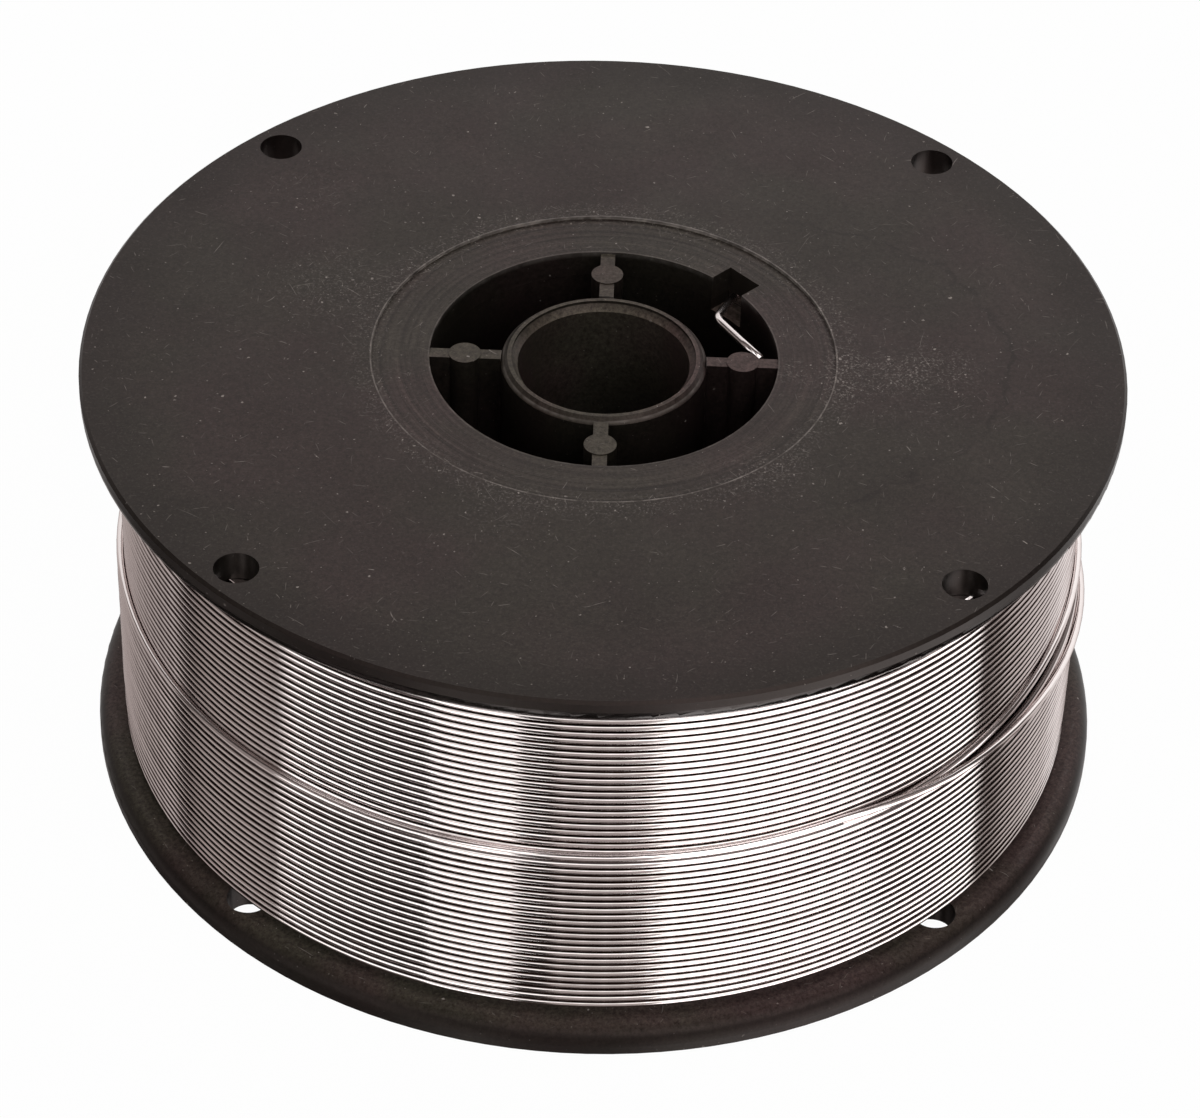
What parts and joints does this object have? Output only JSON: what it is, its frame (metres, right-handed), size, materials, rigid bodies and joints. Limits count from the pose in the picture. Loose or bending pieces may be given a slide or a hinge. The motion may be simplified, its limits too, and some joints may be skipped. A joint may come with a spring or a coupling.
{
  "type": "wire spool",
  "caption": "Moulded flanged spool with a central spindle bore, webbed hub and rim holes, wound nearly full with bare metal wire.",
  "frame": {"origin": "centre of the lower flange's outer face, on the axis of the spindle bore", "axes": "+Z along the spindle bore, towards the flange that the wire's start comes out of; +X and +Y along two neighbouring hub webs, the slot for the wire's start between them"},
  "size_m": [0.1, 0.1, 0.0444],
  "materials": {
    "black_plastic": "satin as moulded",
    "bare_wire": "bright drawn"
  },
  "bodies": {
    "root": {"lower_flange": "black_plastic", "upper_flange": "black_plastic", "barrel": "black_plastic", "hub_tube": "black_plastic", "hub_web_0": "black_plastic", "hub_web_90": "black_plastic", "hub_web_180": "black_plastic", "hub_web_270": "black_plastic", "wire_inner_layers": "bare_wire", "wire_upper_turns": "bare_wire", "wire_lower_turns": "bare_wire", "wire_start_tail": "bare_wire", "wire_end_tail": "bare_wire"}
  },
  "joints": []
}
